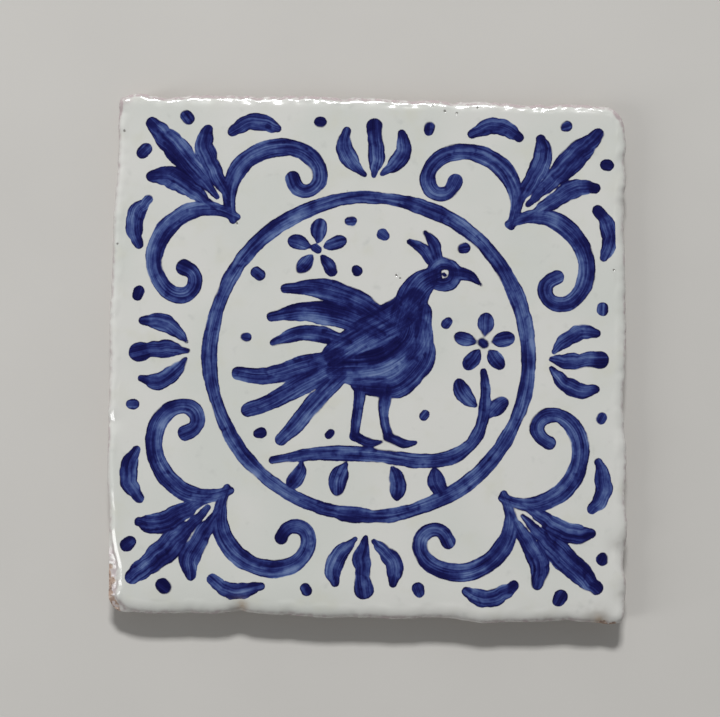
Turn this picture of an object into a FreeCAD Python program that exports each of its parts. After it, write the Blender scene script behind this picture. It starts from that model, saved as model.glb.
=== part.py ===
import FreeCAD, Part
import math
import os

# A handmade wall tile: one slab of red earthenware, rolled out, cut by hand, fired, glazed and painted.
# It lies on its back. X runs along the picture's foot, Y to the picture's top, Z out of the glazed face.
# The origin is the middle of the back.

# Driving dimensions, in millimetres
tile_width = 197.5           # between the lines that the left and right edges wander about
tile_length = 201.0          # between the lines that the bottom and top edges wander about
thickness = 12.0
out_of_square = 2.8          # how far the top edge lies to the left of the bottom edge
side_draft = 1.2             # how far the back's outline lies inside the face's
back_chamfer = 0.8           # the edge round the back, knocked off before firing

# The glazed shoulder: how far it drops down the sides, and how far it reaches in over the face on each side
shoulder_drop = 2.6
bottom_shoulder = 4.4
right_shoulder = 3.4
top_shoulder = 2.4
left_shoulder = 3.2

# The corners' radii, and the sharpest that a corner gets where the shoulder reaches in past its radius
bottom_left_radius = 6.5
bottom_right_radius = 6.0
top_right_radius = 10.0
top_left_radius = 6.5
sharpest_corner = 0.5

# The hand-cut edges. Each pair is a place along the straight run between two corners, as a share of the run,
# and how far the edge bulges out there. The runs go round the tile with the body on their left.
bottom_waves = [
    (0.06, 0.4), (0.14, -0.4), (0.19, -0.3), (0.235, -1.7), (0.285, -0.6), (0.33, -0.5), (0.42, 0.2),
    (0.51, -0.3), (0.57, -0.1), (0.62, -0.6), (0.675, -0.6), (0.72, 0.5), (0.80, 0.0), (0.86, -0.3),
    (0.92, -1.0),
]
right_waves = [
    (0.045, 0.5), (0.09, -0.6), (0.18, 1.0), (0.22, -0.2), (0.26, 0.3), (0.315, 0.7), (0.37, -0.2),
    (0.54, 0.4), (0.71, 0.0), (0.82, -0.3), (0.86, 0.0), (0.90, 0.5), (0.93, -0.2), (0.965, 0.8),
]
top_waves = [
    (0.04, 0.1), (0.11, -0.2), (0.17, -0.5), (0.22, 0.2), (0.27, 0.1), (0.33, 0.0), (0.36, 0.4), (0.43, 0.0),
    (0.51, 0.7), (0.57, 0.4), (0.615, 0.8), (0.66, 0.8), (0.74, 0.2), (0.775, 0.6), (0.81, 0.5), (0.88, -0.2),
    (0.92, -1.1), (0.955, -0.5),
]
left_waves = [
    (0.07, -0.1), (0.15, 0.1), (0.23, 1.2), (0.29, 1.1), (0.39, 1.5), (0.50, 1.7), (0.545, 1.2), (0.625, 1.7),
    (0.71, 1.4), (0.765, 1.3), (0.83, 0.2), (0.89, 0.3), (0.95, -0.1),
]

# The corners and edges in turn, each corner with the edge that leaves it
half_width = tile_width / 2
half_length = tile_length / 2
half_lean = out_of_square / 2
corner_places = [
    FreeCAD.Vector(half_lean - half_width, -half_length, 0),
    FreeCAD.Vector(half_lean + half_width, -half_length, 0),
    FreeCAD.Vector(half_width - half_lean, half_length, 0),
    FreeCAD.Vector(-half_width - half_lean, half_length, 0),
]
corner_radii = [bottom_left_radius, bottom_right_radius, top_right_radius, top_left_radius]
edge_waves = [bottom_waves, right_waves, top_waves, left_waves]
edge_shoulders = [bottom_shoulder, right_shoulder, top_shoulder, left_shoulder]
sides_of_tile = 4
roll_steps = 6               # steps in which the shoulder turns from the sides to the face
smooth_degree = 3


def rounded_corner(corner, insets):
    """The arc round a corner, once the edges on both sides have moved in: its start, middle and end."""
    place = corner_places[corner]
    arriving = (place - corner_places[corner - 1]).normalize()
    leaving = (corner_places[(corner + 1) % sides_of_tile] - place).normalize()
    turn = arriving.getAngle(leaving)
    inset_before = insets[corner - 1]
    inset_after = insets[corner]
    moved = place + (leaving * inset_before - arriving * inset_after) * (1 / math.sin(turn))
    radius = max(corner_radii[corner] - (inset_before + inset_after) / 2, sharpest_corner)
    reach = radius * math.tan(turn / 2)
    inward = (leaving - arriving).normalize()
    middle = moved + inward * (radius / math.cos(turn / 2) - radius)
    return moved - arriving * reach, middle, moved + leaving * reach


def hand_cut_edge(start, end, waves):
    """The edge between two corners, swinging in and out of its line and joining both corners smoothly."""
    run = end - start
    outward = FreeCAD.Vector(run.y, -run.x, 0).normalize()
    points = [start]
    for share, bulge in waves:
        points.append(start + run * share + outward * bulge)
    points.append(end)
    curve = Part.BSplineCurve()
    shares = [0.0] + [share for share, bulge in waves] + [1.0]
    curve.interpolate(Points=points, Parameters=shares, InitialTangent=run, FinalTangent=run, Scale=False)
    return curve.toShape()


def outline(insets, height):
    """The tile's outline at one height, with each edge moved in by its own inset."""
    arcs = [rounded_corner(corner, insets) for corner in range(sides_of_tile)]
    edges = []
    for corner in range(sides_of_tile):
        start, middle, end = arcs[corner]
        next_start = arcs[(corner + 1) % sides_of_tile][0]
        edges.append(Part.Arc(start, middle, end).toShape())
        edges.append(hand_cut_edge(end, next_start, edge_waves[corner]))
    wire = Part.Wire(edges)
    wire.translate(FreeCAD.Vector(0, 0, height))
    return wire


def shoulder_outline(step):
    """The outline after so many steps up the shoulder, a quarter ellipse from the sides to level."""
    angle = math.pi / 2 * step / roll_steps
    insets = [reach * (1 - math.cos(angle)) for reach in edge_shoulders]
    return outline(insets, thickness - shoulder_drop + shoulder_drop * math.sin(angle))


# The slab up to the foot of the shoulder: a chamfer round the back, then the cut sides, leaning out
back = outline([side_draft + back_chamfer] * sides_of_tile, 0)
chamfer_top = outline([side_draft] * sides_of_tile, back_chamfer)
slab = Part.makeLoft([back, chamfer_top, shoulder_outline(0)], True, True)

# The glazed shoulder, up to the face
shoulder_outlines = [shoulder_outline(step) for step in range(roll_steps + 1)]
shoulder = Part.makeLoft(shoulder_outlines, True, False, False, smooth_degree)

# One fired piece
tile = slab.fuse(shoulder).removeSplitter().Solids[0]

os.makedirs("parts", exist_ok=True)
tile.exportStep("parts/tile.step")
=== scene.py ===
import math
import random

import bpy
import numpy as np
from mathutils import Matrix, Vector, noise
from mathutils.bvhtree import BVHTree


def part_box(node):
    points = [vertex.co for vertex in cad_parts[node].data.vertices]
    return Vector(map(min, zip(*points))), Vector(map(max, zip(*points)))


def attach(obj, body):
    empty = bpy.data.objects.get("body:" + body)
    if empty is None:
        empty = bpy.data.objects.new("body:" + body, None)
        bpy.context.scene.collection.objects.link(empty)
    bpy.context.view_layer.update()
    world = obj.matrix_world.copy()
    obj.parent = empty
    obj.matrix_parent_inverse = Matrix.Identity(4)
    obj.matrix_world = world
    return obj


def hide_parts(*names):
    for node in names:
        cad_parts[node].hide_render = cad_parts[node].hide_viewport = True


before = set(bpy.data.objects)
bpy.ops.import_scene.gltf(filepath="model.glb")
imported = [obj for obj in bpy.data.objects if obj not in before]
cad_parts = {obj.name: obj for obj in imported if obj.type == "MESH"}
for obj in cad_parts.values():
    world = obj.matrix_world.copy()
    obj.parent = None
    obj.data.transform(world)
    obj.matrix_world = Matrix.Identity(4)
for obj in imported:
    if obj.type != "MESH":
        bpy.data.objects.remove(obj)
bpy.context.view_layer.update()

# The slab: red earthenware rolled out by hand and cut round with a knife, so every edge wanders and no two
# corners are alike. Its outline is read off the solid at the foot of the shoulder, where the tile is widest,
# high on the shoulder, and on both sides of the chamfer round the back.
mm = 0.001
shoulder_drop = 2.6 * mm
back_chamfer = 0.8 * mm
sides_of_tile = 4
run_steps = 242              # mesh steps along the straight part of an edge
corner_steps = 11            # mesh steps from the middle of a corner to the straight part
core_half = 90 * mm          # half of the square that the spokes to the outline start from
probe_reach = 40 * mm        # how far out along a spoke the solid's wall is looked for
hair = 0.02 * mm             # how far beside a crease the outline is read
facet_smoothing = 4          # how often the outline is smoothed, to lose the solid's facets

# Two corners are squarer than the solid's: the way each points, and how far it reaches past the solid
square_corners = [(Vector((-1, 1, 0)), 1.4 * mm), (Vector((1, -1, 0)), 1.0 * mm)]
square_corner_spread = math.radians(12.5)

low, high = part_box("tile")
thickness = high[2] - low[2]
shoulder_foot = thickness - shoulder_drop
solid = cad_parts["tile"].data
walls = BVHTree.FromPolygons([v.co for v in solid.vertices], [p.vertices for p in solid.polygons])

side_steps = run_steps + 2 * corner_steps
spokes = []
for side in range(sides_of_tile):
    facing = math.radians(90 * side - 90)
    out_x = math.cos(facing)
    out_y = math.sin(facing)
    for step in range(side_steps):
        along_edge = min(max((step - corner_steps) / run_steps, 0), 1) * 2 - 1
        fan = min(step - corner_steps, 0) + max(step - corner_steps - run_steps, 0)
        angle = facing + math.radians(45 * fan / corner_steps)
        start = Vector((out_x - out_y * along_edge, out_y + out_x * along_edge, 0)) * core_half
        spokes.append((start, Vector((math.cos(angle), math.sin(angle), 0))))
outward = np.array([pointing[:2] for start, pointing in spokes])
ring_size = len(spokes)


def outline_at(height):
    """The solid's outline at one height, where the spokes meet its walls, with the facets smoothed away."""
    outline = []
    for start, pointing in spokes:
        hit = walls.ray_cast(start + pointing * probe_reach + Vector((0, 0, height)), -pointing)[0]
        for corner, bulge in square_corners:
            turned = pointing.angle(corner) / square_corner_spread
            hit += pointing * bulge * math.exp(-turned * turned)
        outline.append(hit[:2])
    outline = np.array(outline)
    for smoothing in range(facet_smoothing):
        outline = (np.roll(outline, 1, 0) + 2 * outline + np.roll(outline, -1, 0)) / 4
    return outline


# Rings from the face's edge over the shoulder, down the side and round to the back
shoulder_rings = 10
side_rings = 6
high_turn = math.radians(75)  # how far round the shoulder its upper outline is read
foot_ring = outline_at(shoulder_foot - hair)
high_ring = outline_at(shoulder_foot + shoulder_drop * math.sin(high_turn))
reach = (high_ring - foot_ring) / (1 - math.cos(high_turn))
chamfer_ring = outline_at(back_chamfer + hair)
back_ring = outline_at(hair)
rings = []
for step in range(shoulder_rings):
    turn = math.pi / 2 * (1 - step / shoulder_rings)
    rings.append((foot_ring + reach * (1 - math.cos(turn)), shoulder_foot + shoulder_drop * math.sin(turn)))
for step in range(side_rings):
    down = step / (side_rings - 1)
    height = shoulder_foot + (back_chamfer - shoulder_foot) * down
    rings.append((foot_ring + (chamfer_ring - foot_ring) * down, height))
rings.append((back_ring, 0.0))

seed_spacing = 17.3          # how far apart the seeds lie in the noise


def unevenness(places, size, seed):
    """Soft bumps of about one size, from -1 to 1, at an array of places."""
    lift = Vector((0, 0, seed * seed_spacing))
    return np.array([noise.noise(Vector(place) / size + lift) for place in places])


def bumps(places, near_top, kinds):
    """Bumps of several kinds. A kind is a height, how much higher it is along the top, a size and a seed."""
    total = 0
    for height, more_at_top, size, seed in kinds:
        total = total + (height + more_at_top * near_top) * unevenness(places, size * mm, seed)
    return total


def eased(values, start, end):
    """0 before start and 1 after end, with a soft rise between them."""
    share = np.clip((values - start) / (end - start), 0, 1)
    return share * share * (3 - 2 * share)


def nearness(places, spots):
    """How near each place is to a spot, from 0 to 1. A spot is x, y and a radius, in millimetres."""
    near = np.zeros(len(places))
    for x, y, radius in spots:
        gap = np.hypot(places[:, 0] / mm - x, places[:, 1] / mm - y) / radius
        near = np.maximum(near, np.exp(-gap * gap))
    return near


def towards_lower_left(places, start, end):
    """A soft rise from 0 to 1 between two places, in millimetres to the left of the middle and below it."""
    to_left = eased(-places[:, 0] / mm, start[0], end[0])
    return to_left * eased(-places[:, 1] / mm, start[1], end[1])


# The rim ripples where the glaze rolled over it, most of all along the top and least at the round top right
# corner and low on the left. The cut sides are dragged and pitted, and knocks have worn the left edge down to
# a ledge that widens towards the lower corner. These values are in millimetres.
rim_ripples = [(0.25, 0.40, 2.4, 0), (0.40, 0.60, 5.0, 1), (0.30, 0.0, 13.0, 2)]
smooth_edge = [(84, 34), (92, 46)]
ledge_edge = [(86, 66), (95, 87)]
round_corner = [(96, 94, 14)]
ripple_calmed_at_edge = 0.75
ripple_calmed_at_corner = 0.85
rim_inset = 0.20
least_inset = 0.02
drag_marks = [(0.15, 0.0, 3.5, 3)]
ledge_width = 2.8
ledge_swings = [(0.5, 0.0, 5.0, 13)]
top_of_outline = (90, 97)    # how far above the middle the top's ripple starts, and where it is full
ripple_depths = (-1.5, 0.8)  # how far below the face the ripple starts, and where it is full
drag_depths = (2.0, 5.0)     # the same for the drag marks
ledge_depths = (2.6, 1.5)    # the same for the ledge, from below
foot_places = np.column_stack([foot_ring, np.zeros(ring_size)])
ripple = bumps(foot_places, eased(foot_ring[:, 1] / mm, *top_of_outline), rim_ripples)
ripple *= 1 - ripple_calmed_at_edge * towards_lower_left(foot_ring, *smooth_edge)
ripple *= 1 - ripple_calmed_at_corner * nearness(foot_places, round_corner)
worn = towards_lower_left(foot_ring, *ledge_edge)
wall = []
for ring_places, height in rings:
    fallen = (thickness - height) / mm
    level = np.column_stack([foot_ring, np.full(ring_size, height)])
    inset = np.maximum(rim_inset + ripple, least_inset) * eased(fallen, *ripple_depths)
    inset += np.abs(bumps(level, 0, drag_marks)) * eased(fallen, *drag_depths)
    inset += (ledge_width + bumps(level, 0, ledge_swings)) * worn * eased(fallen, *ledge_depths)
    wall.append(np.column_stack([ring_places - outward * inset[:, None] * mm, np.full(ring_size, height)]))


def stretched_grid(border, steps):
    """A square grid of places stretched between the four sides of a closed border."""
    bottom, right, top, left = [
        border[np.arange(side * steps, (side + 1) * steps + 1) % len(border)] for side in range(sides_of_tile)
    ]
    to_right = np.linspace(0, 1, steps + 1)[None, :, None]
    to_top = np.linspace(0, 1, steps + 1)[:, None, None]
    between_ends = (1 - to_top) * bottom[None] + to_top * top[::-1][None]
    between_sides = (1 - to_right) * left[::-1][:, None] + to_right * right[:, None]
    bottom_line = (1 - to_right) * bottom[0] + to_right * bottom[-1]
    top_line = (1 - to_right) * top[-1] + to_right * top[0]
    return (between_ends + between_sides - (1 - to_top) * bottom_line - to_top * top_line).reshape(-1, 3)


def grid_faces(steps):
    """The faces of such a grid, and the numbers of its border points in the order that the rings go round."""
    number = np.arange((steps + 1) ** 2).reshape(steps + 1, steps + 1)
    quads = np.stack([number[:-1, :-1], number[:-1, 1:], number[1:, 1:], number[1:, :-1]], -1).reshape(-1, 4)
    border = np.concatenate([number[0, :-1], number[:-1, -1], number[-1, :0:-1], number[:0:-1, 0]])
    return quads, border


face = stretched_grid(wall[0], side_steps)
face_quads, upper = grid_faces(side_steps)
places = [face]
faces = face_quads.tolist()
count = len(face)
for ring_places in wall[1:]:
    lower = np.arange(count, count + ring_size)
    faces += np.column_stack([upper, lower, np.roll(lower, -1), np.roll(upper, -1)]).tolist()
    places.append(ring_places)
    upper = lower
    count += ring_size
wall_count = count

# The back is a coarser grid of bare clay, joined to its edge by a strip of triangles
back_step = 6                # the back's mesh is this much coarser than the face's
back_share_of_width = 0.985
back_steps = side_steps // back_step
back = stretched_grid(wall[-1][::back_step] * (back_share_of_width, back_share_of_width, 1), back_steps)
back_quads, back_border = grid_faces(back_steps)
faces += (back_quads[:, ::-1] + count).tolist()
back_border = back_border + count
for spot, inner in enumerate(back_border):
    nearest = spot * back_step
    next_inner = back_border[(spot + 1) % len(back_border)]
    for step in range(back_step):
        first = upper[(nearest + step) % ring_size]
        second = upper[(nearest + step + 1) % ring_size]
        faces.append([first, inner if step < back_step // 2 else next_inner, second])
    faces.append([upper[(nearest + back_step // 2) % ring_size], inner, next_inner])
places.append(back)
places = np.vstack(places)

# The face sags and swells a little, as a slab does in drying and firing. Its rim is lumpy, and it droops
# along the foot and along the top, there most of all to the right. These values are in millimetres.
face_swells = [(0.16, 0.0, 62.0, 4), (0.06, 0.0, 21.0, 5), (0.012, 0.0, 5.0, 6)]
rim_lumps = [(0.12, 0.22, 3.2, 10), (0.30, -0.14, 7.0, 11)]
rim_width = 2.8
lumps_calmed_at_edge = 0.92
lumps_calmed_at_foot = 0.5
face_lowered = 0.30
top_rim_lowered = 0.12
least_lowered = 0.03
foot_droop = 0.8
foot_droop_width = 14
top_droop = 1.0
top_droop_more_at_right = 0.5
top_droop_width = 6
back_hollow = 0.12
back_hollows = [(1.0, 0.0, 9.0, 7)]
top_of_face = (88, 96)       # how far above the middle the face's top starts, and where it is full
foot_of_face = (86, 95)      # the same for its foot, below the middle
right_of_face = (55, 85)     # the same to the right
sag_starts = 5.0             # the height on the side from which the slab sags with its face
on_face = np.arange(len(places)) < len(face)
on_back = np.arange(len(places)) >= wall_count
row, column = np.divmod(np.arange(len(face)), side_steps + 1)
grid_step = (high[0] - low[0]) / side_steps / mm
from_edge = np.zeros(len(places))
from_edge[on_face] = np.minimum(np.minimum(row, column), side_steps - np.maximum(row, column)) * grid_step
near_top = eased(places[:, 1] / mm, *top_of_face)
lumps = bumps(places, near_top, rim_lumps)
lumps *= 1 - lumps_calmed_at_edge * towards_lower_left(places, *smooth_edge)
lumps *= 1 - lumps_calmed_at_foot * eased(-places[:, 1] / mm, *foot_of_face)
lowered = face_lowered + bumps(places, near_top, face_swells)
lowered += (top_rim_lowered * near_top + lumps) * eased(from_edge, rim_width, 0.0)
lowered = np.maximum(lowered, least_lowered)
near_foot = np.clip(1 - (places[:, 1] - low[1]) / (foot_droop_width * mm), 0, 1)
lowered += foot_droop * near_foot * near_foot
near_head = np.clip(1 - (high[1] - places[:, 1]) / (top_droop_width * mm), 0, 1)
at_right = eased(places[:, 0] / mm, *right_of_face)
lowered += (top_droop + top_droop_more_at_right * at_right) * near_head * near_head
lowered *= eased(places[:, 2] / mm, sag_starts, shoulder_foot / mm)
places[:, 2] -= lowered * mm
places[on_back, 2] += back_hollow * (1 + bumps(places[on_back], 0, back_hollows)) * mm

# The glaze: white tin glaze poured over the face. It rolls over the shoulder, thins on the arris, runs a few
# millimetres down the sides and stops. It is gone from the worn corner and missed two spots by another.
# A spot is a place and a radius, and a dent also has a depth, in millimetres.
missed_spots = [(91.5, -100.2, 2.8), (95.5, -100.4, 2.2)]
rubbed_spots = [(90.2, -99.0, 2.4), (-46.0, -96.5, 2.0)]
thin_spots = [(-98.6, 98.8, 3.6)]
# Spots of painted shade in the dents and along the right and bottom rims, with a little grime: x, y and a
# radius
shade_and_grime_spots = [
    (-47.5, -97.5, 3.4), (88.5, -98, 4.5), (99, -70, 4.5), (99.5, -86, 4), (70, -100, 4), (99.5, 62, 4),
]
dents = [
    (-47.5, -99.5, 3.2, 0.9), (92, -99.5, 3.0, 0.8), (-96, -99, 3.5, 0.6), (98.5, -72, 4.5, 0.9),
    (99.5, -90, 4.0, 0.8), (31, 99.5, 3.0, 0.35), (-98.5, -28, 3.5, 0.7), (-66, 100, 3.0, 0.5),
    (99.5, 60, 4.5, 0.7),
]
bare_edge = [(86, 70), (94, 86)]
glaze_run = 5.4              # how far below the face the glaze stops
glaze_run_swings = [(2.6, 0.0, 16.0, 8), (1.6, 0.0, 6.0, 9)]
shortest_run = 2.6
worn_run = 2.0
missed_run = 0.4
back_cover = -9.0            # the back is this far past the glaze's end
crumb_depth = 0.25
crumb_swings = [(0.5, 0.0, 1.8, 14)]
dent_depths = (9.0, 2.0)     # how far below the face the dents start, from below, and where they are full
crumb_depths = (1.0, 1.9)    # the same for the crumbly clay, from above
crumb_end_depths = (7.0, 3.0)    # and from below
thin_depths = (0.3, 1.3)     # the same for the thin glaze on the arris
top_thin_depths = (0.03, 0.3)    # and along the top
thicker_depths = (2.6, 5.0)  # the same for the thicker glaze below that
clay_edge_depths = (0.5, 1.3)    # and for the thin glaze beside bare clay
missed_edge = (0.25, 0.75)   # how near a missed spot the glaze ends
thicker_low_down = 0.55
# Along the top the lilac lip is stronger, as painted shade on the rim
top_lip_shade = 1.5
thinner_at_spots = 1.4
thin_by_clay = 0.8

drop = (thickness - places[:, 2]) / mm - lowered
for x, y, radius, depth in dents:
    dented = depth * nearness(places, [(x, y, radius)]) * eased(drop, *dent_depths)
    places[~on_back, 2] -= dented[~on_back] * mm
missed = eased(nearness(places, missed_spots), *missed_edge)
worn_off = towards_lower_left(places, *bare_edge)
bare = np.maximum(missed, worn_off)
crumbly = bare * eased(drop, *crumb_depths) * eased(drop, *crumb_end_depths)
flat = places * (1, 1, 0)
places[:, 2] -= (crumb_depth + bumps(places, 0, crumb_swings)) * crumbly * mm
glaze_end = np.maximum(glaze_run + bumps(flat, near_top, glaze_run_swings), shortest_run)
glaze_end += (worn_run - glaze_end) * worn_off
glaze_end += (missed_run - glaze_end) * missed
glaze_cover = np.where(on_back, back_cover, glaze_end - drop)
thin_from, thin_to = [
    depth + (top_depth - depth) * near_top for depth, top_depth in zip(thin_depths, top_thin_depths)
]
thicker_below = thicker_low_down * eased(drop, *thicker_depths)
# How lilac the lip is: thin glaze over the clay, with painted shade on the rim, most along the top
thin_glaze_and_lip_shade = eased(drop, thin_from, thin_to) * (1 - thicker_below)
thin_glaze_and_lip_shade *= 1 + top_lip_shade * near_top
thin_glaze_and_lip_shade = np.maximum(thin_glaze_and_lip_shade, thinner_at_spots * nearness(places, thin_spots))
thin_glaze_and_lip_shade = np.maximum(thin_glaze_and_lip_shade, thin_by_clay * bare * eased(drop, *clay_edge_depths))
# How much painted shade, with a little grime, lies at those spots
shade_and_grime = nearness(places, shade_and_grime_spots)
rubbed = nearness(places, rubbed_spots)

# The painting: cobalt brushed on the raw glaze and fired into it, a few loaded strokes to each leaf. A bird
# on a sprig stands in a ring, with sprays round it. Places and widths are in millimetres, from the middle.
hand = random.Random(7)
brush_strokes = []


def stroke(points, widths, load=0.6, lumpy=0.12):
    """One pull of the brush through points, with its width at each, its load and how lumpy it is."""
    brush_strokes.append((points, widths, load, lumpy))


def dot(x, y, width):
    """A touch of the brush's tip, dragged a little as it lifts."""
    turn = hand.uniform(0, 2 * math.pi)
    touch = hand.uniform(0.15, 0.45) * width
    points = [(x, y), (x + touch * math.cos(turn), y + touch * math.sin(turn))]
    stroke(points, [width * hand.uniform(0.75, 1.0) for point in points], 0.5, 0.3)


def dab(x, y, heading, length, width, bend=0.0):
    """A pressed leaf: thin where the brush lands, widest past the middle, round at its end."""
    turn = math.radians(heading)
    points = []
    widths = []
    for share, press in ((0.0, 0.3), (0.3, 0.75), (0.62, 1.0), (0.88, 0.8), (1.0, 0.42)):
        along = share * length
        aside = bend * length * 4 * (share - share * share)
        points.append((
            x + math.cos(turn) * along - math.sin(turn) * aside,
            y + math.sin(turn) * along + math.cos(turn) * aside,
        ))
        widths.append(width * press)
    stroke(points, widths, hand.uniform(0.5, 0.7), 0.4)


def framing_ring(radius, width):
    """The ring round the bird, pulled in two strokes that overlap where they meet."""
    ring_steps = 12
    wobble = 0.35
    for start, sweep in ((65, 205), (262, 175)):
        points = []
        for step in range(ring_steps + 1):
            angle = math.radians(start + sweep * step / ring_steps)
            wobbly = radius + hand.uniform(-wobble, wobble)
            points.append((wobbly * math.cos(angle), wobbly * math.sin(angle)))
        stroke(points, [width * hand.uniform(0.85, 1.12) for point in points], 0.55)


def placed_by_hand(points, wander, turn, middle=0):
    """Points that wander a little from where they were meant to be, turned about a middle on the diagonal."""
    placed = []
    for x, y in points:
        x += hand.uniform(-wander, wander) - middle
        y += hand.uniform(-wander, wander) - middle
        placed.append((
            middle + x * math.cos(turn) - y * math.sin(turn),
            middle + x * math.sin(turn) + y * math.cos(turn),
        ))
    return placed


def corner_spray(right, up):
    """A pointed leaf to the corner, two leaves beside it and a scroll along each edge."""
    middle = 64
    wander = 0.3
    turn = math.radians(hand.uniform(-4, 4))
    scroll = [(53, 52), (55.5, 60), (54.5, 68.5), (49.5, 76), (42, 80.8), (33.5, 82), (26, 79.6),
              (21.3, 74.2), (21.2, 68.3), (25.2, 64.9), (30, 66), (31.8, 70)]
    scroll_widths = [2.4, 4.2, 5.4, 5.8, 5.6, 5.4, 5.2, 5.0, 4.8, 4.6, 4.4, 4.8]
    side_leaf = [(59, 55), (70, 62), (79, 66.5), (86, 66)]
    outer_leaf = [(39, 88.6), (45, 91), (51.5, 90.4), (57, 86.6)]
    corner_leaf = [(60, 60), (70, 70), (79, 79), (88, 87)]

    def by_hand(points, mirrored):
        if mirrored:
            points = [(y, x) for x, y in points]
        return [(right * x, up * y) for x, y in placed_by_hand(points, wander, turn, middle)]

    for mirrored in (False, True):
        stroke(by_hand(scroll, mirrored), scroll_widths)
        stroke(by_hand(side_leaf, mirrored), [1.6, 5.2, 6.6, 3.2], 0.65, 0.5)
        stroke(by_hand(outer_leaf, mirrored), [2.8, 5.4, 5.0, 3.4], 0.62, 0.6)
        x, y = by_hand([(75, 90.5)], mirrored)[0]
        dot(x, y, 4.4)
    stroke(by_hand(corner_leaf, False), [1.8, 5.6, 8.0, 4.4], 0.7, 0.5)


def edge_spray(quarter_turns):
    """Three leaves that point to the edge, with a dot on each side."""
    turn = math.pi / 2 * quarter_turns
    wander = 0.5
    middle_leaf = placed_by_hand([(0, 69.5), (0.6, 77), (0, 84), (-0.4, 89)], wander, turn)
    stroke(middle_leaf, [1.6, 5.6, 4.4, 5.8], 0.65, 0.5)
    for side in (-1, 1):
        leaf = [(3.2 * side, 70.5), (8 * side, 75), (11.5 * side, 81), (11 * side, 87)]
        stroke(placed_by_hand(leaf, wander, turn), [1.6, 4.6, 5.2, 2.6], 0.6, 0.5)
        x, y = placed_by_hand([(21 * side, 90)], wander, turn)[0]
        dot(x, y, 4.0)


def flower(x, y, size):
    """Five petals pressed round a dot."""
    petals = 5
    for petal in range(petals):
        heading = 90 + 360 / petals * petal + hand.uniform(-5, 5)
        turn = math.radians(heading)
        petal_x = x + 0.28 * size * math.cos(turn)
        petal_y = y + 0.28 * size * math.sin(turn)
        dab(petal_x, petal_y, heading, 0.62 * size, 0.42 * size)
    dot(x, y, 0.3 * size)


framing_ring(61.5, 4.6)
for right in (-1, 1):
    for up in (-1, 1):
        corner_spray(right, up)
for quarter_turns in range(sides_of_tile):
    edge_spray(quarter_turns)

# The sprig under the bird, with its leaves: each a place, a heading, a length, a width and a bend
stroke([(-36, -41), (-18, -38), (2, -38), (22, -40), (35, -37), (43, -28), (45, -14), (44, -5)],
       [2.4, 4.2, 4.6, 4.6, 4.4, 4.0, 3.4, 2.2])
for x, y, heading, length, width, bend in (
    (-25, -42, 245, 9, 5.6, 0.12), (-8, -42, 255, 11, 6.0, -0.1), (10, -43, 280, 11, 6.0, 0.1),
    (26, -43, 292, 9, 5.6, -0.1), (47, -22, 45, 8, 5.0, 0.1), (41, -18, 125, 11, 5.4, 0.12),
):
    dab(x, y, heading, length, width, bend)

# The bird: tail feathers, body, wing, neck and head, beak, eye, crest and legs
stroke([(-12, 0), (-26, -5), (-40, -9), (-50, -8)], [5, 6.5, 5.2, 4.4], 0.65)
stroke([(-12, -4), (-26, -12), (-38, -19), (-46, -22)], [5, 6.5, 5.4, 4.6], 0.65)
stroke([(-10, -8), (-20, -18), (-28, -28), (-33, -33)], [4, 6, 5.0, 4.2])
stroke([(17, 22), (10, 15), (-2, 8), (-14, 0)], [8, 11, 11, 7])
stroke([(19, 17), (16, 5), (4, -4), (-12, -6)], [8, 11, 12, 8])
stroke([(20, 12), (20, 0), (10, -11), (-4, -11)], [5, 9, 9, 5], 0.7)
stroke([(8, 13), (-5, 21), (-20, 25.5), (-33, 25)], [4, 7, 6.4, 3.0], 0.75)
stroke([(4, 8), (-9, 14), (-24, 16.5), (-38, 14)], [4, 7, 6.4, 3.0], 0.7)
stroke([(-8, 5), (-18, 7.5), (-27, 8), (-37, 4)], [3.4, 5.0, 4.8, 2.6], 0.65)
stroke([(14, 16), (16, 23), (19.5, 28.5), (23.5, 31)], [11, 9.5, 8, 6.4], 0.65)
eye_x, eye_y = 28.0, 32.2
head_steps = 12
head = []
for step in range(head_steps):
    angle = math.radians(215 - 360 / head_steps * step)
    head.append((eye_x + 4.75 * math.cos(angle), eye_y + 4.45 * math.sin(angle)))
stroke(head, [4.2] * head_steps, 0.62, 0.1)
stroke([(32.5, 32.8), (38, 31.8), (42.5, 28.3)], [4.4, 3.4, 1.2], 0.8, 0.1)
dot(eye_x, eye_y, 1.5)
stroke([(22.5, 37.5), (19.5, 42), (14.5, 44.5)], [3.0, 3.8, 2.0], 0.7)
stroke([(25.5, 39), (24, 44), (20.5, 48)], [3.0, 3.8, 2.0], 0.7)
for leg, foot in ((7, 8), (-3, -5)):
    stroke([(leg, -13), (leg - 1, -22), (foot, -31)], [4.2, 3.4, 3.2], 0.7)
    stroke([(foot, -31), (foot + 6, -33.5), (foot + 10.5, -33)], [3.2, 3.0, 1.4], 0.7)

flower(-21, 40.5, 12)
flower(44, 5.5, 12)
for x, y, width in (
    (-6, 33, 4), (4, 47, 4), (-43, 30, 4), (-48, 6, 3.6), (36, 42.5, 3.6), (30, 14, 3.6), (-42, -31, 3.6),
    (22, -22, 3.8), (-14, -30, 3.4), (-8, 52, 3.4),
):
    dot(x, y, width)

brush_spread = 1.25          # how far the loaded brush spreads past the widths above
path_step = 0.7
most_smoothing = 26          # a long pull swings more smoothly than a short one
path_steps_to_smooth = 4
full_swing_width = 2.5       # the half width from which a stroke's edges are as lumpy as they get
width_swing = 0.16
slow_swells = (7.0, 20)      # the size and the seed of the slow changes in a stroke's width
quick_swells = (2.4, 21)     # the same for the quick ones
hand_sway = (3.2, 22)        # the same for the hand's sway to the side
thinnest_stroke = 0.3


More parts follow.
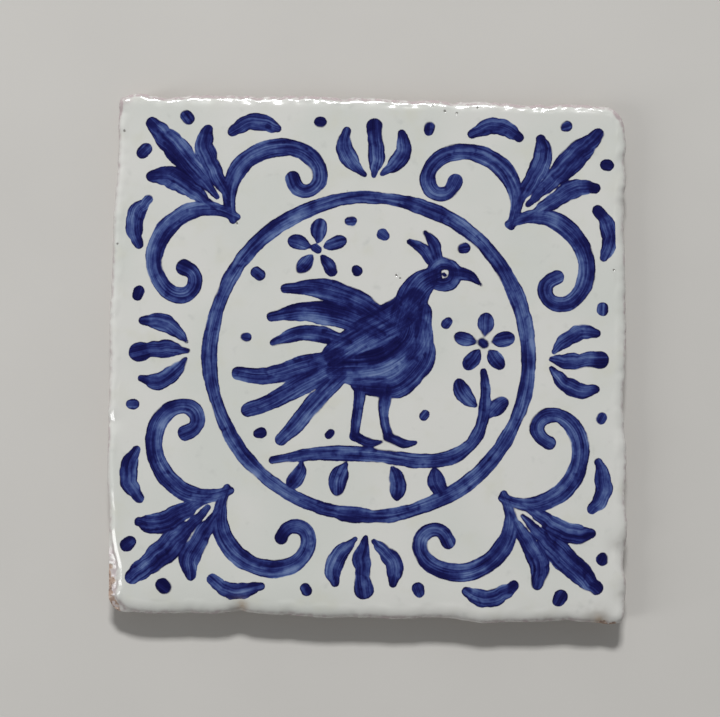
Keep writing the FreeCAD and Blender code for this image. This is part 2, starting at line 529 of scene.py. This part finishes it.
def pulled(points, widths, lumpy):
    """The brush's path in short steps, with its half width and the length so far at each step."""
    ends = np.column_stack([points, widths])
    ends = np.vstack([2 * ends[0] - ends[1], ends, 2 * ends[-1] - ends[-2]])
    ends[[0, -1], 2] = ends[[1, -2], 2]
    path = []
    for before, start, end, after in zip(ends, ends[1:], ends[2:], ends[3:]):
        steps = max(2, round(math.dist(start[:2], end[:2]) / path_step))
        for share in np.arange(steps) / steps:
            path.append(0.5 * (
                2 * start + (end - before) * share + (2 * before - 5 * start + 4 * end - after) * share ** 2
                + (3 * start - before - 3 * end + after) * share ** 3
            ))
    path.append(ends[-2])
    path = np.array(path)
    for smoothing in range(min(most_smoothing, len(path) // path_steps_to_smooth)):
        path[1:-1] = (path[:-2] + 2 * path[1:-1] + path[2:]) / 4
    so_far = np.concatenate([[0], np.cumsum(np.hypot(*np.diff(path[:, :2], axis=0).T))])
    spots = path * (1, 1, 0)
    half_width = path[:, 2] / 2 * brush_spread * (1 + width_swing * unevenness(spots, *slow_swells))
    swing = lumpy * np.minimum(half_width / full_swing_width, 1)
    half_width += swing * unevenness(spots, *quick_swells)
    ahead = np.gradient(path[:, :2], axis=0)
    sideways = np.column_stack([-ahead[:, 1], ahead[:, 0]]) / np.hypot(*ahead.T)[:, None]
    path = path[:, :2] + sideways * (swing * unevenness(spots, *hand_sway))[:, None]
    return path, np.maximum(half_width, thinnest_stroke), so_far


# A stroke goes in the first coat where it is clear of the others, so strokes that cross darken each other.
# A coat holds how deep a place lies in its stroke, how far along the pull and to the side, and the load.
coat_names = ["first", "second", "third", "fourth"]
clear_by = 1.0
outside_depth = -4.0         # how deep a place lies that no stroke comes near
streak_shift = 61.8          # sets one stroke's streaks apart from the next one's
end_pool = (0.05, 0.4)       # the least and the most cobalt that pools where the brush lifts
end_pool_length = (4.5, 0.5)     # how far before the end that starts, and where it is full
start_pool = (0.0, 0.3)      # the same where the brush lands
start_pool_length = (3.5, 0.5)
face_spots = face[:, :2] / mm
coats = np.zeros((len(coat_names), len(places), 4))
coats[:, :, 0] = outside_depth
for order, (points, widths, load, lumpy) in enumerate(brush_strokes):
    path, half_width, so_far = pulled(points, widths, lumpy)
    margin = half_width.max() - outside_depth
    near = ((face_spots > path.min(0) - margin) & (face_spots < path.max(0) + margin)).all(1).nonzero()[0]
    run = np.diff(path, axis=0)
    run_length = np.hypot(*run.T)
    from_start = face_spots[near][:, None] - path[None, :-1]
    share = np.clip((from_start * run).sum(2) / (run_length * run_length), 0, 1)
    gap = np.hypot(*np.moveaxis(from_start - share[:, :, None] * run, 2, 0))
    wide = half_width[:-1] + share * np.diff(half_width)
    best = (wide - gap).argmax(1)
    each = np.arange(len(near))
    ahead = run[best] / run_length[best][:, None]
    to_side = ahead[:, 0] * from_start[each, best, 1] - ahead[:, 1] * from_start[each, best, 0]
    inside = wide[each, best] - gap[each, best]
    gone = so_far[best] + share[each, best] * run_length[best]
    pooled = hand.uniform(*end_pool) * eased(so_far[-1] - gone, *end_pool_length)
    pooled += hand.uniform(*start_pool) * eased(gone, *start_pool_length)
    laid_down = np.column_stack([inside, gone + streak_shift * order, to_side, load + pooled])
    for coat in coats:
        if not ((inside > -clear_by) & (coat[near, 0] > -clear_by)).any():
            break
    deeper = inside > coat[near, 0]
    coat[near[deeper]] = laid_down[deeper]

# The fired tile: slab, glaze and painting leave the kiln as one piece of earthenware. It is glossy and white
# where the glaze covers it, blue where cobalt sank into it, and pinkish and matt where the clay is bare.
crease_angle = math.radians(40)
tile_mesh = bpy.data.meshes.new("tile")
tile_mesh.from_pydata(places.tolist(), [], faces)
tile_mesh.shade_smooth()
tile_mesh.set_sharp_from_angle(angle=crease_angle)
tile = bpy.data.objects.new("painted_tile", tile_mesh)
bpy.context.scene.collection.objects.link(tile)

masks = {"glaze_cover": glaze_cover, "thin_glaze_and_lip_shade": thin_glaze_and_lip_shade, "shade_and_grime": shade_and_grime, "rubbed": rubbed}
for name, coat in zip(coat_names, coats):
    masks[name + "_load"] = coat[:, 3]
    strokes = tile_mesh.attributes.new(name + "_coat", "FLOAT_VECTOR", "POINT")
    strokes.data.foreach_set("vector", coat[:, :3].ravel())
for name, mask in masks.items():
    tile_mesh.attributes.new(name, "FLOAT", "POINT").data.foreach_set("value", mask)

# A map of the whole surface: the face, a strip for each side under it, and the back beside it
face_share = 0.70
back_share = 0.28
map_margin = 0.004
strip_height = 0.070
strip_fill = 0.95
face_scale = face_share / (high[0] - low[0])
back_scale = back_share / (high[0] - low[0])
back_corner = face_share + 3 * map_margin
face_foot = sides_of_tile * strip_height + 2 * map_margin
face_map = (places[:, :2] - low[:2]) * face_scale + (map_margin, face_foot)
back_map = (places[:, :2] - low[:2]) * back_scale + (back_corner, back_corner)
ring_gaps = [np.linalg.norm(below - above, axis=1).mean() for above, below in zip(wall, wall[1:])]
ring_falls = np.concatenate([[0], np.cumsum(ring_gaps)]) * face_scale
place_in_ring = np.arange(ring_size)
strip_from = place_in_ring % side_steps / side_steps * face_share + map_margin
strip_to = strip_from + face_share / side_steps
strip_top = map_margin + strip_height * (place_in_ring // side_steps + strip_fill)
map_corners = [face_map[face_quads].reshape(-1, 2)]
for fall, next_fall in zip(ring_falls, ring_falls[1:]):
    strip = [strip_from, strip_top - fall, strip_from, strip_top - next_fall,
             strip_to, strip_top - next_fall, strip_to, strip_top - fall]
    map_corners.append(np.stack(strip, 1).reshape(-1, 2))
back_faces = faces[len(face_quads) + len(ring_gaps) * ring_size:]
map_corners.append(back_map[np.concatenate(back_faces)])
tile_mesh.uv_layers.new(name="OFBake").data.foreach_set("uv", np.vstack(map_corners).ravel())


def shade(red, green, blue):
    """A colour as it looks on screen, from 0 to 255, in the form that a shader takes."""
    levels = [level / 255 for level in (red, green, blue)]
    return [level / 12.92 if level < 0.04 else ((level + 0.055) / 1.055) ** 2.4 for level in levels] + [1.0]


def add(tree, kind, sockets, **settings):
    """A node in a tree, with its settings, and its sockets linked or set."""
    made = tree.nodes.new("ShaderNode" + kind)
    for name, value in settings.items():
        setattr(made, name, value)
    for name, value in sockets.items():
        if isinstance(value, bpy.types.NodeSocket):
            tree.links.new(value, made.inputs[name])
        else:
            made.inputs[name].default_value = value
    return made


def stored(tree, name, output="Fac"):
    """What the mesh stores under a name."""
    return add(tree, "Attribute", {}, attribute_name=name).outputs[output]


def sums(tree, operation, *values):
    """The result of one sum."""
    return add(tree, "Math", dict(enumerate(values)), operation=operation).outputs[0]


def rise(tree, value, start, end, lowest=0.0, highest=1.0):
    """A soft rise from lowest to highest while a value goes from start to end."""
    sockets = {"Value": value, "From Min": start, "From Max": end, "To Min": lowest, "To Max": highest}
    return add(tree, "MapRange", sockets, interpolation_type="SMOOTHSTEP").outputs[0]


def clouds(tree, vector, size, detail=2.0):
    """Cloudy unevenness of about one size, from 0 to 1 and mostly near a half."""
    return add(tree, "TexNoise", {"Vector": vector, "Scale": 1 / size, "Detail": detail}).outputs["Fac"]


def varied(tree, value, pattern, amount):
    """A value that goes up and down by an amount with a pattern that runs from 0 to 1."""
    return sums(tree, "ADD", value, sums(tree, "MULTIPLY_ADD", pattern, 2 * amount, -amount))


def blend(tree, share, first, second):
    """Two colours mixed by a share."""
    return add(tree, "Mix", {0: share, 6: first, 7: second}, data_type="RGBA").outputs[2]


# One coat of cobalt. The brush holds more on one side and in places along its pull, and its hairs leave
# streaks. Coats that touch run together, so the group passes on the totals of the coats so far.
streaks = [(24.0, 1.6, 0.75), (13.0, 0.5, 0.5), (9.0, 9.0, 0.6)]     # length, width and strength
fuller_side_length = 45.0
fuller_side_row = 7.7        # a row of the noise that the streaks don't read
fuller_side_width = 3.0
fuller_side_strength = 0.65
runs_together = 1.1          # millimetres over which strokes side by side flow into one
coat_group = bpy.data.node_groups.new("cobalt_coat", "ShaderNodeTree")
for name, kind in (("Stroke", "Vector"), ("Load", "Float"), ("Place", "Vector")):
    coat_group.interface.new_socket(name, in_out="INPUT", socket_type="NodeSocket" + kind)
for name in ("Depth", "Colour", "Coats"):
    coat_group.interface.new_socket(name, in_out="INPUT", socket_type="NodeSocketFloat")
    coat_group.interface.new_socket(name, in_out="OUTPUT", socket_type="NodeSocketFloat")
given = coat_group.nodes.new("NodeGroupInput").outputs
taken = coat_group.nodes.new("NodeGroupOutput").inputs
stroke_depth, pull, across = add(coat_group, "SeparateXYZ", {0: given["Stroke"]}).outputs
stroke_depth = varied(coat_group, stroke_depth, clouds(coat_group, given["Place"], 2.6 * mm), 0.3)
laid = given["Load"]
for streak_length, streak_width, strength in streaks:
    streak_place = add(coat_group, "CombineXYZ", {
        0: sums(coat_group, "DIVIDE", pull, streak_length),
        1: sums(coat_group, "DIVIDE", across, streak_width),
    }).outputs[0]
    laid = varied(coat_group, laid, clouds(coat_group, streak_place, 1.0), strength)
slow_pull = sums(coat_group, "DIVIDE", pull, fuller_side_length)
slow_place = add(coat_group, "CombineXYZ", {0: slow_pull, 1: fuller_side_row}).outputs[0]
fuller_side = sums(coat_group, "MULTIPLY_ADD", clouds(coat_group, slow_place, 1.0, 0.0), 2.0, -1.0)
off_middle = sums(coat_group, "TANH", sums(coat_group, "DIVIDE", across, fuller_side_width))
fuller = sums(coat_group, "MULTIPLY", off_middle, fuller_side)
laid = sums(coat_group, "MULTIPLY_ADD", fuller, fuller_side_strength, laid)
wet = rise(coat_group, stroke_depth, -0.2, 1.8)
joined = sums(coat_group, "SMOOTH_MAX", given["Depth"], stroke_depth, runs_together)
coat_group.links.new(joined, taken["Depth"])
coat_group.links.new(sums(coat_group, "MULTIPLY_ADD", wet, laid, given["Colour"]), taken["Colour"])
coat_group.links.new(sums(coat_group, "ADD", wet, given["Coats"]), taken["Coats"])

look = bpy.data.materials.new("glazed_earthenware")
look.use_nodes = True
tree = look.node_tree
shader = tree.nodes["Principled BSDF"]
place = add(tree, "TexCoord", {}).outputs["Object"]

# White glaze, a little warmer and cooler in places, with faint grey clouds and specks
cool_white = shade(189, 191, 186)
warm_white = shade(195, 195, 191)
cream = shade(187, 187, 175)
cloud_grey = shade(172, 174, 170)
speck_grey = shade(126, 124, 116)
white = blend(tree, rise(tree, clouds(tree, place, 40 * mm), 0.35, 0.65), cool_white, warm_white)
white = blend(tree, rise(tree, clouds(tree, place, 11 * mm, 3.0), 0.5, 0.8, 0.0, 0.5), white, cream)
white = blend(tree, rise(tree, clouds(tree, place, 6 * mm, 4.0), 0.6, 0.8, 0.0, 0.5), white, cloud_grey)
specks = add(tree, "TexVoronoi", {"Vector": place, "Scale": 1 / (8 * mm)}).outputs
speck_size = rise(tree, specks["Color"], 0.55, 1.0, 0.0, 0.075)
speck = rise(tree, sums(tree, "SUBTRACT", specks["Distance"], speck_size), 0.0, -0.04, 0.0, 0.45)
white = blend(tree, speck, white, speck_grey)

# The blue of the coats together: pale where thin, near black where it pooled, with a dark line at its edge
doubled_strength = 0.18
edge_strength = 0.34
pool_strength = 0.28
cobalt_strength = 0.75
blue_steps = [(0.0, (100, 116, 156)), (0.19, (76, 93, 138)), (0.34, (57, 71, 122)), (0.45, (43, 54, 107)),
              (0.56, (31, 38, 92)), (0.70, (20, 22, 72)), (1.0, (12, 12, 56))]
totals = {"Depth": outside_depth, "Colour": 0.0, "Coats": 0.0}
for name in coat_names:
    read = {"Stroke": stored(tree, name + "_coat", "Vector"), "Load": stored(tree, name + "_load")}
    coat_node = add(tree, "Group", {**read, "Place": place, **totals}, node_tree=coat_group)
    totals = {total: coat_node.outputs[total] for total in totals}
cobalt = sums(tree, "DIVIDE", totals["Colour"], sums(tree, "MAXIMUM", totals["Coats"], 0.001))
cobalt = sums(tree, "MULTIPLY_ADD", rise(tree, totals["Coats"], 0.9, 1.9), doubled_strength, cobalt)
dark_edge = rise(tree, totals["Depth"], 0.8, 0.25)
dark_edge = sums(tree, "MULTIPLY", dark_edge, rise(tree, clouds(tree, place, 9 * mm), 0.36, 0.56))
cobalt = sums(tree, "MULTIPLY_ADD", dark_edge, edge_strength, cobalt)
cobalt = varied(tree, cobalt, clouds(tree, place, 4.5 * mm, 3.0), 0.34)
cobalt = varied(tree, cobalt, clouds(tree, place, 1.3 * mm), 0.16)
pools = rise(tree, clouds(tree, place, 3.2 * mm, 1.0), 0.62, 0.78, 0.0, pool_strength)
cobalt = sums(tree, "MULTIPLY", sums(tree, "ADD", cobalt, pools), cobalt_strength)
blues = add(tree, "ValToRGB", {"Fac": cobalt})
while len(blues.color_ramp.elements) < len(blue_steps):
    blues.color_ramp.elements.new(0.5)
for element, (position, colour) in zip(blues.color_ramp.elements, blue_steps):
    element.position = position
    element.color = shade(*colour)
soft_edge = rise(tree, clouds(tree, place, 13 * mm), 0.54, 0.72, 0.16, 0.8)
glazed = blend(tree, rise(tree, totals["Depth"], -0.10, soft_edge), white, blues.outputs["Color"])

# Pinholes where the glaze drew back from a bubble: a place and a radius, in millimetres. Painted shade
# darkens each pit, which is also sunk in the relief further down.
pinholes = [(-52.2, 49.8, 0.45), (22.3, 98.0, 0.4), (27.0, 95.9, 0.5), (31.7, 95.2, 0.45), (39.7, 97.6, 0.4),
            (93.5, 35.4, 0.4), (9.7, 31.3, 0.45), (11.2, 30.2, 0.35), (-97.0, 85.0, 0.5), (-98.2, 40.9, 0.45)]
pit_shade = shade(70, 66, 60)
pit_shade_strength = 0.75
flat_place = add(tree, "VectorMath", {0: place, 1: (1, 1, 0)}, operation="MULTIPLY").outputs[0]
hole = 0.0
for x, y, radius in pinholes:
    from_hole = add(tree, "VectorMath", {0: flat_place, 1: (x * mm, y * mm, 0)}, operation="DISTANCE")
    pit = rise(tree, from_hole.outputs["Value"], 1.5 * radius * mm, 0.5 * radius * mm)
    hole = sums(tree, "MAXIMUM", hole, pit)
glazed = blend(tree, sums(tree, "MULTIPLY", hole, pit_shade_strength), glazed, pit_shade)

# Where glaze thins over the arris the clay shows through, and painted shade darkens that lip. Painted shade
# with a little grime sits in the dents and along the right and bottom rims, and rubs left it brownish
lip_lilac_and_shade = shade(160, 148, 149)
shade_and_grime_grey = shade(116, 108, 100)
rubbed_brown = shade(164, 147, 127)
thin = stored(tree, "thin_glaze_and_lip_shade")
broken = clouds(tree, place, 2.2 * mm, 4.0)
patchy = rise(tree, clouds(tree, place, 7 * mm), 0.38, 0.58, 0.45, 1.0)
# The lilac lip: thin glaze over the clay, darkened further as painted shade of the rim
clay_showing_and_shade = sums(tree, "MULTIPLY", thin, patchy)
clay_showing_and_shade = sums(tree, "MULTIPLY", clay_showing_and_shade, rise(tree, broken, 0.36, 0.62, 0.2, 0.9))
glazed = blend(tree, clay_showing_and_shade, glazed, lip_lilac_and_shade)
# The painted shade and grime is mottled
shade_and_grime_mottle = rise(tree, clouds(tree, place, 5 * mm, 2.0), 0.3, 0.7, 0.05, 0.4)
glazed = blend(tree, sums(tree, "MULTIPLY", stored(tree, "shade_and_grime"), shade_and_grime_mottle), glazed, shade_and_grime_grey)
rubbed_thin = rise(tree, broken, 0.3, 0.65, 0.5, 0.9)
glazed = blend(tree, sums(tree, "MULTIPLY", stored(tree, "rubbed"), rubbed_thin), glazed, rubbed_brown)

# Past the glaze's ragged end the clay is bare, mottled, and flecked with pale grit and dark pits
clay_brown = shade(128, 106, 92)
clay_pink = shade(158, 136, 122)
grit_pale = shade(184, 166, 153)
pit_dark = shade(88, 66, 55)
ragged = 1.3                 # how far the glaze's end wanders, in millimetres
clay = blend(tree, rise(tree, clouds(tree, place, 4 * mm, 4.0), 0.38, 0.62), clay_brown, clay_pink)
clay = blend(tree, rise(tree, clouds(tree, place, 1.4 * mm, 2.0), 0.52, 0.66), clay, grit_pale)
clay = blend(tree, rise(tree, clouds(tree, place, 0.9 * mm, 2.0), 0.56, 0.68), clay, pit_dark)
covered = rise(tree, varied(tree, stored(tree, "glaze_cover"), broken, ragged), -0.15, 0.25)
tree.links.new(blend(tree, covered, clay, glazed), shader.inputs["Base Color"])

# Glossy glaze, a little less so where it is thin, and matt clay
clay_roughness = 0.86
glaze_roughness = 0.13
thin_roughness = 0.12
glaze_ior = 1.65
plain_roughness = rise(tree, covered, 0.0, 1.0, clay_roughness, glaze_roughness)
roughness = sums(tree, "MULTIPLY_ADD", clay_showing_and_shade, thin_roughness, plain_roughness)
tree.links.new(roughness, shader.inputs["Roughness"])
shader.inputs["IOR"].default_value = glaze_ior

# Grain on the clay, a soft orange peel on the glaze, finer lumps on its rim, and the pinholes' pits
relief_depth = 0.2 * mm
relief_strength = 0.7
rim_relief = 0.5
grain = clouds(tree, place, 0.9 * mm, 3.0)
peel = sums(tree, "MULTIPLY_ADD", clouds(tree, place, 5 * mm), 0.35, 0.6)
rim_grain = sums(tree, "MULTIPLY", thin, sums(tree, "SUBTRACT", clouds(tree, place, 1.6 * mm), 0.5))
glaze_height = sums(tree, "SUBTRACT", sums(tree, "MULTIPLY_ADD", rim_grain, rim_relief, peel), hole)
relief = add(tree, "Mix", {0: covered, 2: grain, 3: glaze_height}, data_type="FLOAT").outputs[0]
bump = add(tree, "Bump", {"Height": relief, "Distance": relief_depth, "Strength": relief_strength})
tree.links.new(bump.outputs["Normal"], shader.inputs["Normal"])
tile_mesh.materials.append(look)

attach(tile, "root")
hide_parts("tile")

# The floor: a plain pale table top that takes the tile's shadow. It is painted board, matt and a little
# uneven, and no part of the tile.
floor_half = 3.0
floor_roughness = 0.85
board_dark = shade(176, 174, 170)
board_pale = shade(182, 180, 176)
floor_mesh = bpy.data.meshes.new("floor")
floor_corners = [(-floor_half, -floor_half, 0), (floor_half, -floor_half, 0), (floor_half, floor_half, 0),
                 (-floor_half, floor_half, 0)]
floor_mesh.from_pydata(floor_corners, [], [(0, 1, 2, 3)])
floor = bpy.data.objects.new("floor", floor_mesh)
bpy.context.scene.collection.objects.link(floor)
floor_look = bpy.data.materials.new("pale_board")
floor_look.use_nodes = True
floor_tree = floor_look.node_tree
floor_place = add(floor_tree, "TexCoord", {}).outputs["Object"]
pale = blend(floor_tree, clouds(floor_tree, floor_place, 60 * mm, 3.0), board_dark, board_pale)
floor_shader = floor_tree.nodes["Principled BSDF"]
floor_tree.links.new(pale, floor_shader.inputs["Base Color"])
floor_shader.inputs["Roughness"].default_value = floor_roughness
floor_mesh.materials.append(floor_look)

# The light: a window past the tile's top edge, a small one low on its left, and a dim room whose
# ceiling is dark, so that the glaze doesn't veil the blue. A lamp is a place, a size and a power.
lamps = {
    "window": ((-0.1, 2.7, 2.42), (0.8, 0.4), 146.0),
    "small_window": ((-1.36, -0.42, 0.8), (0.36, 1.2), 9.0),
}
ceiling_light = 0.03
room_light = 0.36
for name, (lamp_place, lamp_size, power) in lamps.items():
    lamp = bpy.data.lights.new(name, "AREA")
    lamp.shape = "RECTANGLE"
    lamp.size, lamp.size_y = lamp_size
    lamp.energy = power
    lamp_object = bpy.data.objects.new(name, lamp)
    lamp_object.location = lamp_place
    lamp_object.rotation_euler = (-Vector(lamp_place)).to_track_quat("-Z", "Y").to_euler()
    bpy.context.scene.collection.objects.link(lamp_object)
world = bpy.data.worlds.new("room")
world.use_nodes = True
room = world.node_tree
seen_way = add(room, "TexCoord", {}).outputs["Generated"]
upward = add(room, "SeparateXYZ", {0: seen_way}).outputs["Z"]
backdrop = room.nodes["Background"].inputs
room.links.new(rise(room, upward, 0.98, 0.5, ceiling_light, room_light), backdrop["Strength"])
backdrop["Color"].default_value = (1.0, 1.0, 1.0, 1.0)
bpy.context.scene.world = world

# The camera: above the tile, a little towards its foot and turned a little, as the photograph was taken.
# It looks at a place near the middle of the face.
camera_tilt = math.radians(4.09)
camera_roll = math.radians(1.436)
camera_distance = 0.6194
camera_lens = 80.68
looked_at = Vector((-3.52 * mm, -1.23 * mm, thickness))
camera = bpy.data.objects.new("camera", bpy.data.cameras.new("camera"))
camera.data.lens = camera_lens
camera_turn = Matrix.Rotation(camera_tilt, 4, "X") @ Matrix.Rotation(camera_roll, 4, "Z")
camera_away = Matrix.Translation((0, 0, camera_distance))
camera.matrix_world = Matrix.Translation(looked_at) @ camera_turn @ camera_away
bpy.context.scene.collection.objects.link(camera)
bpy.context.scene.camera = camera
bpy.context.scene.view_settings.view_transform = "Standard"
